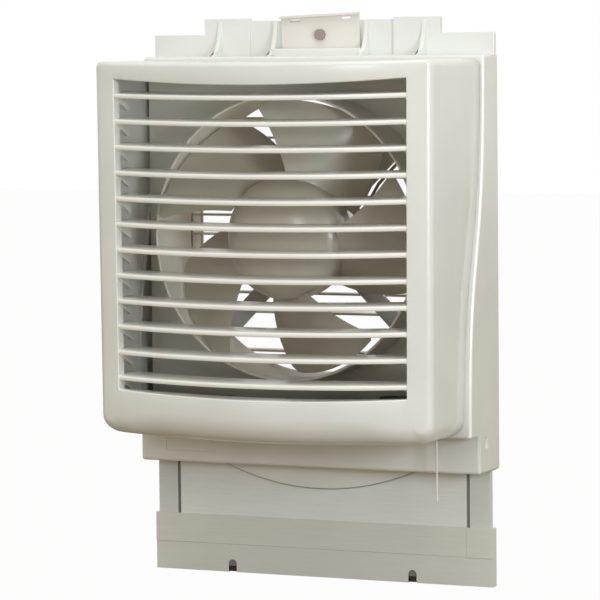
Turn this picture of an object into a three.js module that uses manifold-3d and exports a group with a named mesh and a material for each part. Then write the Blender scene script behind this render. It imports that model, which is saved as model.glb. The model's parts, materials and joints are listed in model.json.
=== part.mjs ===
// A window ventilation fan that stands on the sill rail of a sliding window.
// Millimetres. +X is the fan's right seen from the room, -Y faces the room, +Z is up.
// The origin is the middle of the sill face, under the lower sleeve.
import * as THREE from 'three';
import { mergeVertices } from 'three/addons/utils/BufferGeometryUtils.js';
import Module from 'manifold-3d';

const wasm = await Module();
wasm.setup();

// ---------- driving dimensions ----------
const seatGap = 0.3;            // clearance between pieces that touch
const slideGap = 0.4;           // clearance of sliding fits

// casing behind the cover
const caseWidth = 269;
const caseTop = 381;
const caseBottom = 83.8;
const caseRear = 12.4;
const caseWall = 1.6;
const rearWall = 2.2;
const ledgeHeight = 111;        // underside of the part that stands forward
const chinFront = -26.7;        // front face of the chin under the ledge
const edgeMiddle = -30;         // mean depth of the casing's curved front edge
const edgeStep = 14.6;          // half the depth that the curve gains at the top
const edgeTurn = 242;           // height where the curve turns
const edgeLength = 57;          // how slowly it turns
const flangeDepth = 2;
const flangeWidth = 8.5;        // each side of the casing's front opening
const flangeLow = 114;          // lower edge of that opening
const flangeTop = 4.5;          // its upper edge lies this far under the cover's top
const flangeRound = 12;         // its lower corners
const openingReach = -10;       // how far back the opening is cut
const tongueRadius = 187;       // arched skirt under the chin, round the fan's axis
const tongueThick = 1.8;
const screwRecess = 2.2;        // pockets for the screw heads in the back
const recessRadius = 3.7;
const recessWall = 1.8;
const latchSlot = [-15.5, -13, 103, 108];       // slot in the chin's right side, depth and height
const labelField = [-114, -77, 92, 103];        // shallow field on the chin's front

// wall on top that runs in the upper window rail
const wallFront = 4.3;
const wallThick = 4.4;
const shoulderTop = 396.8;
const wallTop = 408.4;
const wallWidth = 187;
const bayWidth = 114;           // middle bay of the wall, set back
const baySetback = 1.8;
const gussetX = [36, 81];
const gussetThick = 3;
const gussetReach = 13;
const landHeight = 5.4;
const landFront = -5;

// front cover and its slats
const coverWidth = 260;
const coverTop = 378.6;
const coverBottom = 113.1;
const coverFront = -101.5;      // depth of the cover's front corners
const coverBulge = 18;          // how far the middle stands forward of the corners
const coverWall = 2.4;
const coverFlare = 2.1;         // each side widens by this to the rear
const coverTaper = 1.8;         // each side narrows by this to the bottom
const coverCorner = 5;          // rounding between front and sides
const cornerTop = 5;
const cornerBottom = 13;
const bowTop = 1.4;
const bowBottom = 3.6;
const openingWidth = 225.6;
const openingTop = 366;
const openingBottom = 144.6;
const openingBowTop = 4.4;
const openingBowBottom = 3.2;
const revealWall = 2.2;
const revealRear = -96.5;
const slatCount = 12;
const slatPitch = 18.3;
const slatFirst = 354.5;
const slatDepth = 22;
const slatFrontThick = 3.4;
const slatRearThick = 1.8;
const slatTilt = 0.115;         // rise per depth towards the rear
const slatInset = 0.5;

// fan axis, bellmouth and propeller
const axisZ = 252;
const throatRadius = 101;
const throatWall = 2;
const throatFront = -62;
const throatRear = -8;
const throatLip = 0.6;          // rounding of the throat's front edge
const plateRear = -22;
const plateThick = 2;
const plateTop = 374.5;
const plateBottom = 116.5;
const postInset = 12.5;
const postX = caseWidth / 2 - postInset;
const postZ = postX - 24;
const postRadius = 3.5;
const hubRadius = 44;
const hubFront = -80;
const hubDome = 18;             // depth of the hub's rounded front
const hubRear = -42;
const bossFront = 9;            // radius of the boss on the shaft
const bossRear = -63;
const clampRadius = 11.6;
const hubWall = 2.2;
const bladeCount = 5;
const bladeRoot = 41;
const bladeTip = 98.5;
const bladeThick = 1.8;
const bladeFront = -69;
const bladeRear = -30;
const bladeCamber = 4.5;

// motor
const motorRadius = 35;
const motorFront = -62;
const motorSplit = -38;
const motorRear = -10;
const shellWall = 1.8;
const statorRadius = 32;
const statorBore = 20.5;
const statorFront = -50;
const statorRear = -28;
const windingReach = 6.5;
const rotorRadius = 19.8;
const shaftRadius = 4;
const shaftFront = -74;
const shaftRear = -14;
const bearingRadius = 9;
const bearingWidth = 5;
const shaftClearance = 0.1;
const bracketThick = 2.4;
const bracketRear = -5.2;
const bracketDisc = 30;
const armWidth = 13;
const armEndX = 113;
const bossRadius = 5;

// shutter
const shutterWidth = 202;
const shutterTop = 357;
const shutterBottom = 150;
const shutterBar = 4;
const shutterFrontY = -4;
const rearOpeningTop = 354;
const shutterBlades = 14;
const shutterPitch = 14.2;
const shutterFirst = 350;
const pivotY = -2.6;
const pivotRadius = 0.85;
const pivotClearance = 0.3;
const louvreDepth = 14.4;
const louvreThick = 1;
const crankRadius = 6;
const crankAngle = 40;          // degrees above the open blade
const linkThick = 1.2;
const linkWidth = 3;

// pull switch
const cordX = 106.5;
const cordY = -39.8;
const cordRadius = 0.75;
const cordEnd = 66;
const cordKnotRadius = 2.4;
const leverPivotX = 84;
const leverPivotZ = 130;
const leverHeight = 4;
const leverDepth = 4.6;
const switchLeft = 62;
const switchRight = 94;
const switchTop = 138;
const bushRadius = 3.6;
const capacitorLeft = -94;
const capacitorRight = -60;
const capacitorDrop = 4;        // it is this much lower than the switch
const notchSide = 98;           // cut in the bellmouth's plate for the lead, from this width
const notchDrop = 7.5;          // it ends this far under the lower post
const notchTop = axisZ - postZ - postRadius - notchDrop;

// window panels under the casing
const panelHalf = caseWidth / 2 - caseWall - slideGap;
const panelThick = 5;
const panelBottom = 4.4;
const panelTop = 133.7;         // just under the lower screw bosses
const grooveX = 115.5;
const grooveWidth = 1.8;
const grooveDepth = 0.9;
const sleeveWall = 1.7;
const sleeveWidth = 2 * (panelHalf + slideGap + sleeveWall);
const sleeveHeight = 42.3;
const sleeveThick = 8;
const sleeveFloor = 4;
const sleeveStep = 20.7;
const lowRecess = 0.7;          // the sleeve's front face under that height
const fieldRecess = 0.3;        // and over it, between the grooves
const notchX = 72;
const notchWidth = 6.4;
const notchHeight = 9.3;

// catch plate on the top wall
const catchHalf = 31;
const catchTop = 411;
const catchThick = 1.8;
const catchLip = 3.4;
const catchTilt = 2.4;          // degrees, as it sits in its slot
const catchScrewZ = 396.2;
const catchScrewRadius = 4.2;

// ---------- solids ----------
const radians = THREE.MathUtils.degToRad;

function toSolid(geometry) {
  const bare = geometry.index ? geometry.clone() : geometry;
  bare.deleteAttribute('normal');
  bare.deleteAttribute('uv');
  const merged = mergeVertices(bare, 1e-4);
  const places = merged.attributes.position.array;
  const corners = merged.index.array;
  const kept = [];
  let volume = 0;
  for (let i = 0; i < corners.length; i += 3) {
    const [a, b, c] = [corners[i], corners[i + 1], corners[i + 2]];
    if (a === b || b === c || a === c) continue;
    kept.push(a, b, c);
    const p = new THREE.Vector3().fromArray(places, a * 3);
    const q = new THREE.Vector3().fromArray(places, b * 3);
    const r = new THREE.Vector3().fromArray(places, c * 3);
    volume += p.dot(q.cross(r));
  }
  if (volume < 0) kept.reverse();
  const mesh = new wasm.Mesh({
    numProp: 3,
    vertProperties: new Float32Array(places),
    triVerts: new Uint32Array(kept),
  });
  return new wasm.Manifold(mesh);
}

function toGeometry(solid) {
  const mesh = solid.getMesh();
  const geometry = new THREE.BufferGeometry();
  geometry.setAttribute('position', new THREE.BufferAttribute(mesh.vertProperties, 3));
  geometry.setIndex(new THREE.BufferAttribute(mesh.triVerts, 1));
  return geometry;
}

const joined = (solids) => solids.reduce((sum, solid) => sum.add(solid));
const cutBy = (solid, cutters) => cutters.reduce((rest, cutter) => rest.subtract(cutter), solid);

function box(x0, x1, y0, y1, z0, z1) {
  const geometry = new THREE.BoxGeometry(x1 - x0, y1 - y0, z1 - z0);
  return toSolid(geometry.translate((x0 + x1) / 2, (y0 + y1) / 2, (z0 + z1) / 2));
}

const outline = (points) => new THREE.Shape(points.map(([u, v]) => new THREE.Vector2(u, v)));

// an outline drawn out by depth, each corner then placed by a rule
function prism(points, depth, place) {
  const geometry = new THREE.ExtrudeGeometry(outline(points), { depth, bevelEnabled: false });
  return placed(geometry, place);
}

function placed(geometry, place) {
  const spots = geometry.attributes.position;
  for (let i = 0; i < spots.count; i += 1) {
    spots.setXYZ(i, ...place(spots.getX(i), spots.getY(i), spots.getZ(i)));
  }
  return toSolid(geometry);
}

const same = (x, y, z) => [x, y, z];

function prismX(points, x0, x1) {
  return prism(points, x1 - x0, (u, v, w) => [x0 + w, u, v]);
}

function prismY(points, y0, y1, change = same) {
  return prism(points, y1 - y0, (u, v, w) => change(u, y0 + w, v));
}

function prismZ(points, z0, z1, change = same) {
  return prism(points, z1 - z0, (u, v, w) => change(u, v, z0 + w));
}

function arc(u, v, radius, from, to, steps) {
  const points = [];
  for (let i = 0; i <= steps; i += 1) {
    const angle = radians(from + (to - from) * i / steps);
    points.push([u + radius * Math.cos(angle), v + radius * Math.sin(angle)]);
  }
  return points;
}

const circle = (u, v, radius, sides) => arc(u, v, radius, 0, 360, sides).slice(0, -1);
const rodX = (x0, x1, y, z, radius, sides = 8) => prismX(circle(y, z, radius, sides), x0, x1);
const rodY = (x, y0, y1, z, radius, sides = 16) => prismY(circle(x, z, radius, sides), y0, y1);
const rodZ = (x, y, z0, z1, radius, sides = 16) => prismZ(circle(x, y, radius, sides), z0, z1);

// closed profile of radius and depth, turned about the fan's axis
function turned(profile, sides) {
  const points = [...profile, profile[0]].map(([r, y]) => new THREE.Vector2(r, y));
  return toSolid(new THREE.LatheGeometry(points, sides).translate(0, 0, axisZ));
}

const tube = (inner, outer, y0, y1, sides) => turned(
  [[inner, y0], [outer, y0], [outer, y1], [inner, y1]], sides);

// closed sections with the same number of corners, joined in order
function loft(sections) {
  const size = sections[0].length;
  const indices = [];
  for (let s = 0; s < sections.length - 1; s += 1) {
    for (let k = 0; k < size; k += 1) {
      const a = s * size + k;
      const b = s * size + (k + 1) % size;
      indices.push(a, b, b + size, a, b + size, a + size);
    }
  }
  const last = (sections.length - 1) * size;
  for (let k = 1; k < size - 1; k += 1) {
    indices.push(0, k + 1, k, last, last + k, last + k + 1);
  }
  const geometry = new THREE.BufferGeometry();
  geometry.setAttribute('position', new THREE.Float32BufferAttribute(sections.flat(2), 3));
  geometry.setIndex(indices);
  return toSolid(geometry);
}

const span = (from, to, steps) => Array.from({ length: steps + 1 },
  (_, i) => from + (to - from) * i / steps);

// ---------- the assembly ----------
const fan = new THREE.Group();

const finish = (color, roughness, metalness = 0) => ({ color, roughness, metalness });
const ivory = finish(0xdedbd1, 0.45);
const ivoryInner = finish(0xc9c6bb, 0.5);
const greyPanel = finish(0xb8b6aa, 0.5);
const bladeGrey = finish(0xa9a79a, 0.4);
const zinc = finish(0xb4b6b8, 0.35, 0.9);
const darkSteel = finish(0x55575a, 0.4, 0.8);
const copper = finish(0xa65f35, 0.4, 0.8);
const blackPlastic = finish(0x1c1c1c, 0.5);
const cordWhite = finish(0xe8e6df, 0.8);
const rivetBrown = finish(0x8d8378, 0.4, 0.5);

function add(name, look, solid) {
  const mesh = new THREE.Mesh(toGeometry(solid), new THREE.MeshStandardMaterial(look));
  mesh.name = name;
  fan.add(mesh);
}

// ---------- shared shapes ----------
const coverHalf = coverWidth / 2;
const caseHalf = caseWidth / 2;
const innerHalf = caseHalf - caseWall;
const frontHalf = caseHalf - flangeWidth;
const bulgeAt = (x) => coverBulge * (1 - (x / coverHalf) ** 2);
const coverFrontAt = (x) => coverFront - bulgeAt(x);
const edgeAt = (z) => edgeMiddle + edgeStep * Math.tanh((z - edgeTurn) / edgeLength);
const edgeCurve = (from, to, shift) => span(from, to, 12).map((z) => [edgeAt(z) + shift, z]);

// the moulded draft of the cover's sides
function drafted(x, y, z) {
  const flare = coverFlare * (y - coverFront) / (edgeAt(coverTop) - coverFront);
  const taper = coverTaper * (coverTop - z) / (coverTop - coverBottom);
  return [x * (1 + (flare - taper) / coverHalf), y, z];
}

// ---------- front cover ----------
function coverPlan(inset) {
  const side = coverHalf - inset;
  const round = coverCorner - inset;
  const start = side - round;
  const corner = coverFrontAt(start) + inset + round;
  const front = span(-start, start, 14).map((x) => [x, coverFrontAt(x) + inset]);
  return [
    ...arc(-start, corner, round, 180, 270, 4).slice(0, -1),
    ...front,
    ...arc(start, corner, round, 270, 360, 4).slice(1),
    [side, inset], [-side, inset],
  ];
}

function coverFace(inset) {
  const side = coverHalf - inset;
  const low = cornerBottom - inset;
  const high = cornerTop - inset;
  const dip = (x, bow) => bow * (1 - (x / coverHalf) ** 2);
  const bottomAt = (x) => coverBottom + inset - dip(x, bowBottom);
  const topAt = (x) => coverTop - inset - dip(x, bowTop);
  const left = side - low;
  const right = side - high;
  return [
    ...arc(-left, bottomAt(left) + low, low, 180, 270, 6).slice(0, -1),
    ...span(-left, left, 8).map((x) => [x, bottomAt(x)]),
    ...arc(left, bottomAt(left) + low, low, 270, 360, 6).slice(1),
    ...arc(right, topAt(right) - high, high, 0, 90, 4).slice(0, -1),
    ...span(right, -right, 6).map((x) => [x, topAt(x)]),
    ...arc(-right, topAt(right) - high, high, 90, 180, 4).slice(1),
  ];
}

function coverBlock(inset) {
  const plan = prismZ(coverPlan(inset), coverBottom - 20, coverTop + 20, drafted);
  const face = prismY(coverFace(inset), coverFront - coverBulge - 10, inset, drafted);
  return plan.intersect(face);
}

function openingOutline(grow) {
  const side = openingWidth / 2 + grow;
  const dip = (x, bow) => bow * Math.max(0, 1 - (2 * x / openingWidth) ** 2);
  return [
    ...span(-side, side, 8).map((x) => [x, openingBottom - grow - dip(x, openingBowBottom)]),
    ...span(side, -side, 8).map((x) => [x, openingTop + grow - dip(x, openingBowTop)]),
  ];
}

function slat(height) {
  const end = openingWidth / 2 + revealWall / 2;
  return loft(span(-end, end, 10).map((x) => {
    const front = coverFrontAt(x) + slatInset;
    const back = front + slatDepth;
    const z = height - slatTilt * bulgeAt(x);
    const rise = slatTilt * slatDepth;
    return [
      drafted(x, front, z - slatFrontThick / 2),
      drafted(x, back, z + rise - slatRearThick / 2),
      drafted(x, back, z + rise + slatRearThick / 2),
      drafted(x, front, z + slatFrontThick / 2),
    ];
  }));
}

function frontCover() {
  const near = coverFront - coverBulge - 10;
  const reveal = prismY(openingOutline(revealWall), near, revealRear, drafted);
  const opening = prismY(openingOutline(0), near, revealRear + 1, drafted);
  const hollow = coverBlock(coverWall).subtract(reveal);
  const overrun = 30;
  const behind = prismX([...edgeCurve(coverBottom - overrun, coverTop + overrun, -seatGap),
    [coverWall + 5, coverTop + overrun], [coverWall + 5, coverBottom - overrun]],
  -caseHalf, caseHalf);
  const shell = cutBy(coverBlock(0), [hollow, opening, behind]);
  const slats = span(0, slatCount - 1, slatCount - 1).map((i) => slat(slatFirst - i * slatPitch));
  return joined([shell, ...slats]);
}

// ---------- rear casing ----------
const chinInner = chinFront + caseWall;
const rearInner = caseRear - rearWall;
const panelSlot = panelThick / 2 + slideGap;
const cupFront = caseRear - screwRecess - recessWall;

function casingBlock() {
  const outer = prismX([
    [caseRear, caseBottom], [caseRear, caseTop],
    ...edgeCurve(caseTop, ledgeHeight, 0),
    [chinFront, ledgeHeight], [chinFront, caseBottom],
  ], -caseHalf, caseHalf);
  const inner = prismX([
    [rearInner, caseBottom + caseWall], [rearInner, caseTop - caseWall],
    ...edgeCurve(caseTop - caseWall, ledgeHeight + caseWall, flangeDepth),
    [chinInner, ledgeHeight + caseWall], [chinInner, caseBottom + caseWall],
  ], -innerHalf, innerHalf);
  return outer.subtract(inner);
}

function topWall() {
  const back = wallFront + wallThick;
  const shoulders = box(-caseHalf, caseHalf, wallFront, back, caseTop - 1, shoulderTop);
  const tall = box(-wallWidth / 2, wallWidth / 2, wallFront, back, caseTop - 1, wallTop);
  const bay = bayWidth / 2;
  const recess = box(-bay, bay, wallFront - 1, wallFront + baySetback, caseTop, wallTop + 1);
  const lower = box(-bay, bay, wallFront - 1, back + 1, wallTop - 1.6, wallTop + 1);
  const slot = box(-2.6, 2.6, wallFront, back + 1, catchScrewZ - 2.6, catchScrewZ + 8.6);
  return cutBy(shoulders.add(tall), [recess, lower, slot]);
}

function gusset(x) {
  const top = wallTop - 2.4;
  const foot = caseTop - 0.5;
  const front = wallFront - 0.8;
  const curve = span(0, 90, 8).map((a) => [
    front - gussetReach * (1 - Math.cos(radians(a))),
    top - (top - caseTop - 0.8) * Math.sin(radians(a)),
  ]);
  const back = wallFront + baySetback + 0.5;
  return prismX([[back, foot], [back, top], ...curve, [front - gussetReach, foot]],
    x - gussetThick / 2, x + gussetThick / 2);
}

function tongue() {
  const high = caseBottom + 1;
  const reach = Math.sqrt(tongueRadius ** 2 - (axisZ - caseBottom) ** 2);
  const arch = span(-reach, reach, 16).map((x) => [x, axisZ - Math.sqrt(tongueRadius ** 2 - x * x)]);
  return prismY([...arch, [reach, high], [-reach, high]], -panelSlot - tongueThick, -panelSlot);
}

const corners = [[1, 1], [-1, 1], [-1, -1], [1, -1]];

function rearCasing() {
  const landBox = box(-gussetX[0] + 1, gussetX[0] - 1, landFront, wallFront - 0.7,
    caseTop - 1, caseTop + landHeight);
  const bosses = corners.map(([i, k]) => rodY(
    i * armEndX, bracketRear + seatGap, rearInner + 1, axisZ + k * armEndX, bossRadius));
  const bossHoles = corners.map(([i, k]) => rodY(
    i * armEndX, bracketRear, 4, axisZ + k * armEndX, 1.7, 12));
  const cups = corners.map(([i, k]) => rodY(
    i * postX, cupFront, rearInner + 1, axisZ + k * postZ, recessRadius + recessWall));
  const pockets = corners.map(([i, k]) => rodY(
    i * postX, caseRear - screwRecess, caseRear + 1, axisZ + k * postZ, recessRadius));
  const postHoles = corners.map(([i, k]) => rodY(
    i * postX, cupFront - 1, caseRear + 1, axisZ + k * postZ, 1.8, 12));
  const low = flangeLow + flangeRound;
  const side = frontHalf - flangeRound;
  const frontOpening = prismY([
    ...arc(-side, low, flangeRound, 180, 270, 6), ...arc(side, low, flangeRound, 270, 360, 6),
    [frontHalf, coverTop - flangeTop], [-frontHalf, coverTop - flangeTop],
  ], coverFront, openingReach);
  const rearOpening = box(-shutterWidth / 2 + 1, shutterWidth / 2 - 1, rearInner - 1, caseRear + 1,
    shutterBottom, rearOpeningTop);
  const slot = box(-innerHalf, innerHalf, -panelSlot, panelSlot, caseBottom - 1,
    caseBottom + caseWall + 1);
  const bushHole = rodZ(cordX, cordY, ledgeHeight - 1, ledgeHeight + 4, bushRadius - 1, 16);
  const sideSlot = box(innerHalf - 1, caseHalf + 1, ...latchSlot);
  const [fieldLeft, fieldRight, fieldLow, fieldHigh] = labelField;
  const field = box(fieldLeft, fieldRight, chinFront - 1, chinFront + 0.6, fieldLow, fieldHigh);
  const gussets = gussetX.flatMap((x) => [gusset(-x), gusset(x)]);
  const body = joined([casingBlock(), topWall(), landBox, tongue(), ...gussets, ...bosses, ...cups]);
  return cutBy(body, [...bossHoles, ...postHoles, ...pockets, frontOpening, rearOpening, slot,
    bushHole, sideSlot, field]);
}

// ---------- bellmouth ----------
function bellmouth() {
  const outer = throatRadius + throatWall;
  const ring = turned([[throatRadius, throatRear], [throatRadius, throatFront + throatLip],
    [throatRadius + throatLip, throatFront], [outer - throatLip, throatFront],
    [outer, throatFront + throatLip], [outer, throatRear]], 44);
  const half = frontHalf - seatGap;
  const plate = box(-half, half, plateRear - plateThick, plateRear, plateBottom, plateTop);
  const hole = rodY(0, plateRear - plateThick - 1, plateRear + 1, axisZ, throatRadius + 1, 44);
  const posts = corners.map(([i, k]) => rodY(
    i * postX, plateRear - 1, cupFront - seatGap, axisZ + k * postZ, postRadius));
  const threads = corners.map(([i, k]) => rodY(
    i * postX, -1, cupFront + 1, axisZ + k * postZ, 1.8, 12));
  const notch = box(notchSide, half + 1, plateRear - plateThick - 1, plateRear + 1,
    plateBottom - 1, notchTop);
  return cutBy(joined([plate.subtract(hole), ring, ...posts]), [...threads, notch]);
}

// ---------- propeller ----------
// Angles run clockwise from the top, seen from the room.
const bladeShare = (r) => (r - bladeRoot) / (bladeTip - bladeRoot);
const leadingAngle = (r) => 10.2 - 21.5 * bladeShare(r) ** 0.75;
const bladeAngle = (r) => 61.5 - 9.8 * bladeShare(r);

function blade(turn) {
  const radii = span(hubRadius - 1.5, bladeTip, 4);
  const chord = span(0, 1, 5);
  return loft(radii.map((r) => {
    const at = (u, side) => {
      const angle = radians(leadingAngle(r) + bladeAngle(r) * u + turn);
      const depth = bladeFront + (bladeRear - bladeFront) * u;
      const camber = -bladeCamber * Math.sin(Math.PI * u);
      const thick = bladeThick / 2 * (0.45 + 0.55 * Math.sin(Math.PI * Math.min(1, u + 0.12)));
      return [r * Math.sin(angle), depth + camber + side * thick, axisZ + r * Math.cos(angle)];
    };
    return [...chord.map((u) => at(u, -1)), ...chord.map((u) => at(1 - u, 1))];
  }));
}

function propeller() {
  const bore = shaftRadius + seatGap;
  const inner = hubRadius - hubWall;
  const dome = (radius, front, from, to) => span(from, to, 8).map((a) => [
    radius * Math.sin(radians(a)), front + hubDome * (1 - Math.cos(radians(a)))]);
  const rimAngle = THREE.MathUtils.radToDeg(Math.asin(bossFront / inner));
  const hub = turned([
    ...dome(hubRadius, hubFront, 0, 90), [hubRadius, hubRear], [inner, hubRear],
    ...dome(inner, hubFront + hubWall, 90, rimAngle),
    [bossFront, bossRear], [bore, bossRear], [bore, shaftFront - seatGap],
    [0, shaftFront - seatGap],
  ], 32);
  const blades = span(0, bladeCount - 1, bladeCount - 1).map((i) => blade(i * 360 / bladeCount));
  const core = tube(0.5, inner, hubFront + 1, hubRear + 1, 32);
  return hub.add(joined(blades).subtract(core));
}

const hubClamp = () => tube(bossFront + seatGap, clampRadius, bossRear - 6, bossRear - 1, 24);

// ---------- motor ----------
const shellInner = motorRadius - shellWall;
const seatRadius = bearingRadius + 0.4;
const motorScrewR = 22;
const fourWays = [0, 90, 180, 270].map((a) => [
  motorScrewR * Math.cos(radians(a)), motorScrewR * Math.sin(radians(a))]);

function motorRearShell() {
  const wall = motorRear - seatGap;
  const inside = wall - shellWall;
  const shell = turned([
    [5, wall], [motorRadius - 1.5, wall], [motorRadius, wall - 1.5],
    [motorRadius, motorSplit + seatGap], [shellInner, motorSplit + seatGap], [shellInner, inside],
    [seatRadius + 1.6, inside], [seatRadius + 1.6, inside - bearingWidth - 1],
    [seatRadius, inside - bearingWidth - 1], [seatRadius, inside], [5, inside],
  ], 24);
  const holes = fourWays.map(([x, z]) => rodY(x, inside - 1, wall + 1, axisZ + z, 1.6, 10));
  return cutBy(shell, holes);
}

function motorFrontShell() {
  const inside = motorFront + shellWall;
  return turned([
    [5, motorFront], [motorRadius - 2, motorFront], [motorRadius, motorFront + 2],
    [motorRadius, motorSplit], [shellInner, motorSplit], [shellInner, inside],
    [seatRadius + 1.6, inside], [seatRadius + 1.6, inside + bearingWidth + 1],
    [seatRadius, inside + bearingWidth + 1], [seatRadius, inside], [5, inside],
  ], 24);
}

const bearing = (y0) => tube(shaftRadius + shaftClearance, bearingRadius, y0, y0 + bearingWidth, 24);

function motorBracket() {
  const front = bracketRear - bracketThick;
  const disc = rodY(0, front, bracketRear, axisZ, bracketDisc, 32);
  const length = armEndX * Math.SQRT2 + 6;
  const arm = [[-armWidth / 2, 0], [armWidth / 2, 0], [armWidth / 2, length], [-armWidth / 2, length]];
  const arms = [45, 135, 225, 315].map((a) => {
    const [c, s] = [Math.cos(radians(a)), Math.sin(radians(a))];
    return prismY(arm.map(([u, v]) => [c * u + s * v, axisZ - s * u + c * v]), front, bracketRear);
  });
  const holes = [
    ...corners.map(([i, k]) => [i * armEndX, k * armEndX]), ...fourWays,
  ].map(([x, z]) => rodY(x, front - 1, bracketRear + 1, axisZ + z, 1.7, 12));
  return cutBy(joined([disc, ...arms]), [...holes, rodY(0, front - 1, bracketRear + 1, axisZ, 6)]);
}

// a screw along Y: the head at headY, the shank on to tipY
function screw(x, z, headY, headThick, headRadius, tipY, shankRadius) {
  const towards = Math.sign(tipY - headY);
  const far = headY - towards * headThick;
  const head = rodY(x, Math.min(headY, far), Math.max(headY, far), z, headRadius, 10);
  const shank = rodY(x, Math.min(headY - towards * 0.5, tipY), Math.max(headY - towards * 0.5, tipY),
    z, shankRadius, 8);
  return head.add(shank);
}

// ---------- shutter ----------
const bladeHeights = span(0, shutterBlades - 1, shutterBlades - 1)
  .map((i) => shutterFirst - i * shutterPitch);
const shutterInner = shutterWidth / 2;
const crankY = pivotY + crankRadius * Math.cos(radians(crankAngle));
const crankLift = crankRadius * Math.sin(radians(crankAngle));
const linkX = shutterInner - 1.8;
const holeRadius = pivotRadius + pivotClearance;

function shutterFrame() {
  const outer = box(-shutterInner - shutterBar - 1, shutterInner + shutterBar + 1, shutterFrontY,
    rearInner - seatGap, shutterBottom - shutterBar, shutterTop + shutterBar);
  const inner = box(-shutterInner, shutterInner, shutterFrontY - 1, rearInner + 1,
    shutterBottom, shutterTop);
  const holes = bladeHeights.map((z) => rodX(
    -shutterInner - 3, shutterInner + 3, pivotY, z, holeRadius));
  return cutBy(outer, [inner, ...holes]);
}

function shutterBlade(z) {
  const end = linkX - 1 - 2 * seatGap - 1;
  const plate = box(-shutterInner + 2, end - 0.8, pivotY, pivotY + louvreDepth,
    z - louvreThick / 2, z + louvreThick / 2);
  const pins = rodX(-shutterInner - 2.4, shutterInner + 2.4, pivotY, z, pivotRadius);
  const [c, s] = [Math.cos(radians(crankAngle)), Math.sin(radians(crankAngle))];
  const corner = (along, across) => [pivotY + along * c - across * s, z + along * s + across * c];
  const lug = prismX([corner(0, -1), corner(crankRadius + 1, -1), corner(crankRadius + 1, 1),
    corner(0, 1)], end - 0.4, end + 1);
  const crank = rodX(end, linkX + linkThick / 2 + seatGap, crankY, z + crankLift, pivotRadius);
  return joined([plate, pins, lug, crank]);
}

function shutterLink() {
  const top = bladeHeights[0] + crankLift + 2.4;
  const bottom = bladeHeights[bladeHeights.length - 1] + crankLift - 2.4;
  const bar = box(linkX - linkThick / 2, linkX + linkThick / 2, crankY - linkWidth / 2,
    crankY + linkWidth / 2, bottom, top);
  return cutBy(bar, bladeHeights.map((z) => rodX(
    linkX - linkThick, linkX + linkThick, crankY, z + crankLift, holeRadius)));
}

// ---------- pull switch and cord ----------
const floor = ledgeHeight + caseWall + seatGap;
const leverFront = cordY - leverDepth / 2;
const leverBack = cordY + leverDepth / 2;
const switchFront = leverBack + seatGap;
const switchBack = plateRear - plateThick - 1;
const leverTop = leverPivotZ + leverHeight / 2;
const knotZ = leverTop + seatGap + cordKnotRadius;

function pullSwitch() {
  const body = box(switchLeft, switchRight, switchFront, switchBack, floor, switchTop);
  const pivot = rodY(leverPivotX, switchFront - 1, switchFront + 5, leverPivotZ, 2.3, 12);
  return body.subtract(pivot);
}

function switchLever() {
  const tip = cordX + 4;
  const arm = box(leverPivotX - 4, tip, leverFront, leverBack, leverPivotZ - leverHeight / 2, leverTop);
  const pin = rodY(leverPivotX, leverBack - 1, switchFront + 4.4, leverPivotZ, 2, 12);
  const slot = box(cordX - 6, tip + 1, cordY - cordRadius - 0.4, cordY + cordRadius + 0.4,
    leverPivotZ - leverHeight, leverPivotZ + leverHeight);
  return arm.add(pin).subtract(slot);
}

function pullCord() {
  const route = new THREE.LineCurve3(new THREE.Vector3(cordX, cordY, cordEnd),
    new THREE.Vector3(cordX, cordY, knotZ));
  const section = outline(circle(0, 0, cordRadius, 8));
  const line = new THREE.ExtrudeGeometry(section, { steps: 20, bevelEnabled: false, extrudePath: route });
  const knot = new THREE.SphereGeometry(cordKnotRadius, 10, 6).translate(cordX, cordY, knotZ);
  return toSolid(line).add(toSolid(knot));
}

function cordBush() {
  const flangeTop = ledgeHeight - seatGap;
  const flange = rodZ(cordX, cordY, flangeTop - 1.4, flangeTop, bushRadius, 16);
  const sleeve = rodZ(cordX, cordY, flangeTop - 1, ledgeHeight + caseWall + 1, bushRadius - 1.3, 16);
  const bore = rodZ(cordX, cordY, flangeTop - 3, ledgeHeight + 6, cordRadius + 0.5, 12);
  return flange.add(sleeve).subtract(bore);
}

// the lead that runs beside the bracket's upper right arm and down to the switch
const leadRadius = 1.2;
const leadSteps = 44;
const leadInset = 20.5;
const leadDepth = -6;
const leadStart = 50;
const leadRise = axisZ - 12.5;
const leadSide = caseHalf - leadInset;
const leadTurn = leadSide - 10;
const clipAt = [40, -15, 268];
const clipReach = 3;
const leadPoints = [
  [33.5, -17, 263.5], clipAt, [45, -8.5, 280], [leadStart, leadDepth, leadStart + leadRise],
  [leadTurn, leadDepth, leadTurn + leadRise], [leadTurn + 8, leadDepth, leadTurn + leadRise - 2.5],
  [leadSide, leadDepth, leadTurn + leadRise - 15.5], [leadSide, leadDepth, notchTop + 35],
  [leadSide, -10.5, notchTop + 17], [leadSide, -17, notchTop], [leadSide - 1, -24.5, notchTop - 11],
  [leadSide - 6, -30, notchTop - 17], [switchRight + seatGap, -31, 123],
];

function leadTube(radius, steps) {
  const route = new THREE.CatmullRomCurve3(leadPoints.map((p) => new THREE.Vector3(...p)),
    false, 'catmullrom', 0.2);
  return toSolid(new THREE.ExtrudeGeometry(outline(circle(0, 0, radius, 8)),
    { steps, bevelEnabled: false, extrudePath: route }));
}

function leadClip() {
  const [x, y, z] = clipAt;
  const block = box(x - clipReach, x + clipReach, y - clipReach, y + clipReach,
    z - clipReach, z + clipReach);
  return block.subtract(leadTube(leadRadius + seatGap, leadSteps));
}

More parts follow.
